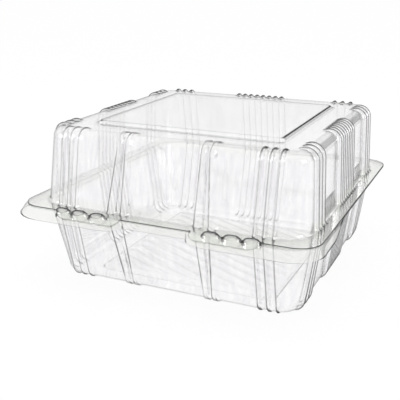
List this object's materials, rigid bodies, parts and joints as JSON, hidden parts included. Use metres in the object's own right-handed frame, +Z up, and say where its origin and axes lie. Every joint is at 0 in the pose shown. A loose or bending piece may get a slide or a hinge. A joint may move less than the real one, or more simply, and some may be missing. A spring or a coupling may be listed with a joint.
{
  "type": "hinged clear plastic food clamshell",
  "caption": "Clear formed plastic clamshell pack: a square ribbed tray and a deep ribbed lid joined by a rear living hinge, with snap studs along the front.",
  "frame": {"origin": "under the middle of the closed pack's outline, on the surface that it rests on", "axes": "+X to the pack's right seen from its front, +Y from the snap front to the rear hinge, +Z up"},
  "size_m": [0.2368, 0.2504, 0.1212],
  "materials": {
    "clear_sheet": "clear glossy formed sheet"
  },
  "bodies": {
    "base": {"tray": "clear_sheet"},
    "cover": {"lid": "clear_sheet"}
  },
  "joints": [
    {"name": "lid_hinge", "type": "hinge", "parent": "base", "child": "cover", "pos_m": [0, 0.124, 0.063], "axis": [-1, 0, 0], "range_deg": [0, 180]}
  ]
}
